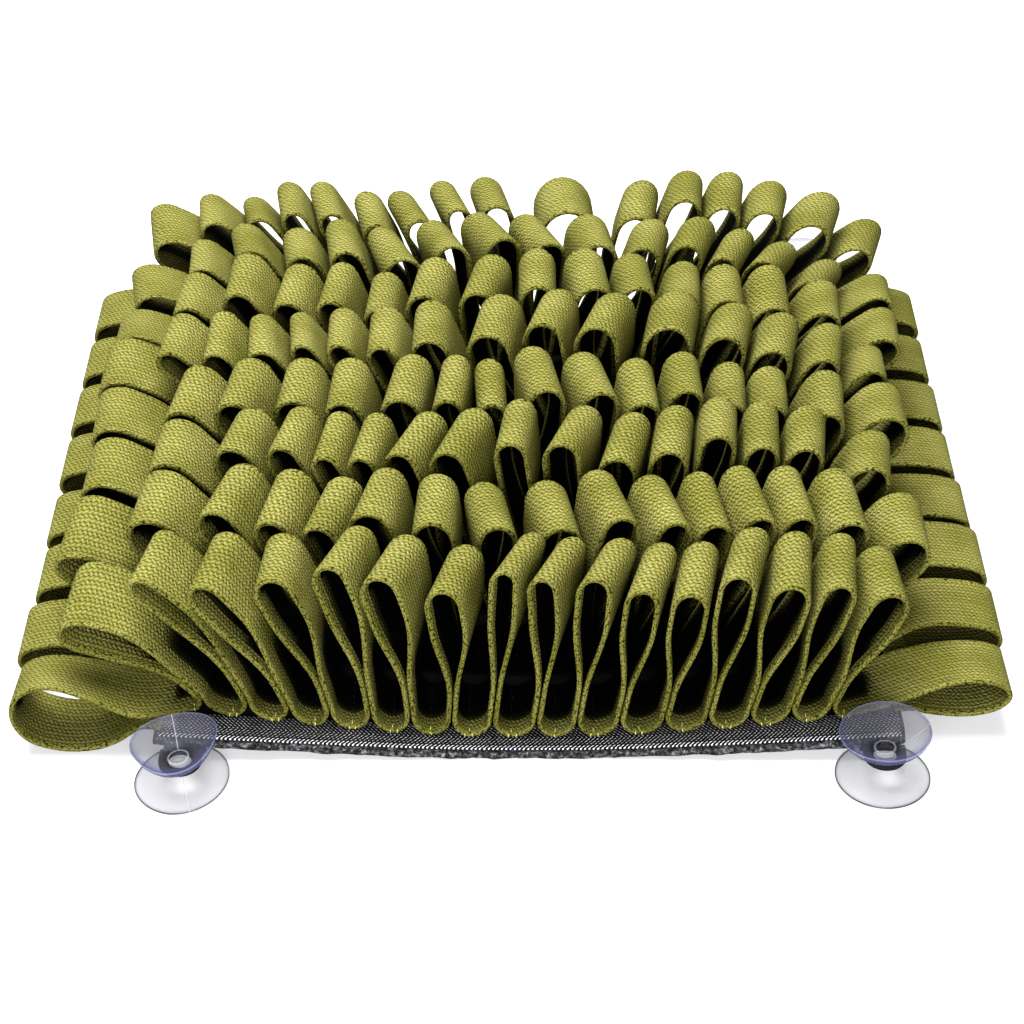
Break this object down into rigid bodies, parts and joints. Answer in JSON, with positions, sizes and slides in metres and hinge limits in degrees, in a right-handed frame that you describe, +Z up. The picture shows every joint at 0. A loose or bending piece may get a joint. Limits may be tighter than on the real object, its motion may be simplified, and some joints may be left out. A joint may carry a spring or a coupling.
{
  "type": "snuffle mat",
  "caption": "Pet foraging mat: rows of looped olive webbing stitched on a grey felt base, with a herringbone edge tape and clear double suction cups at its corners.",
  "frame": {"origin": "on the floor, under the middle of the mat's overall width and depth", "axes": "+X to the right along the rows as seen from the taped front edge, +Y from the taped edge to the back edge, +Z up"},
  "size_m": [0.4285, 0.4191, 0.1013],
  "materials": {
    "olive_webbing": "coarse woven cotton, matte",
    "grey_felt": "needled felt with dark flecks, matte",
    "herringbone_tape": "black and white herringbone weave",
    "clear_pvc": "clear soft PVC, glossy",
    "black_tab": "dense black fabric, matte"
  },
  "bodies": {
    "root": {"base_felt": "grey_felt", "front_tape": "herringbone_tape", "strip_1": "olive_webbing", "strip_2": "olive_webbing", "strip_3": "olive_webbing", "strip_4": "olive_webbing", "strip_5": "olive_webbing", "strip_6": "olive_webbing", "strip_7": "olive_webbing", "strip_8": "olive_webbing", "cup_front_left": "clear_pvc", "cup_front_right": "clear_pvc", "cup_back_left": "clear_pvc", "cup_back_right": "clear_pvc", "tab_front_left": "black_tab", "tab_front_right": "black_tab", "tab_back_left": "black_tab", "tab_back_right": "black_tab"}
  },
  "joints": []
}
